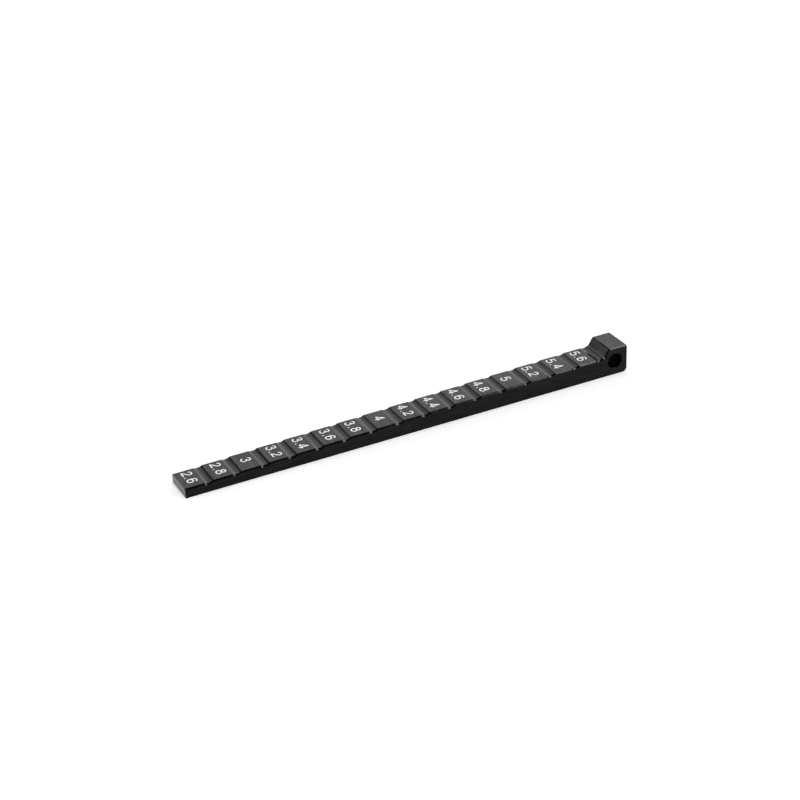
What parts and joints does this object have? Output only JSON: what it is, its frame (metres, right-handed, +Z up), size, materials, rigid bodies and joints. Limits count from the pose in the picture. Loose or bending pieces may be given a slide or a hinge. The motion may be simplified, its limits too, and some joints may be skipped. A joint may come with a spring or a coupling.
{
  "type": "ride height gauge",
  "caption": "Flat stepped gauge bar in dark anodised aluminium: numbered lands rise in even steps to a taller head with a cross hole.",
  "frame": {"origin": "middle of the flat resting face", "axes": "+X along the bar towards the head, +Z up from the resting face through the lands"},
  "size_m": [0.1274, 0.0088, 0.008],
  "materials": {
    "body": "black anodised, satin"
  },
  "bodies": {
    "root": {"gauge_body": "body"}
  },
  "joints": []
}
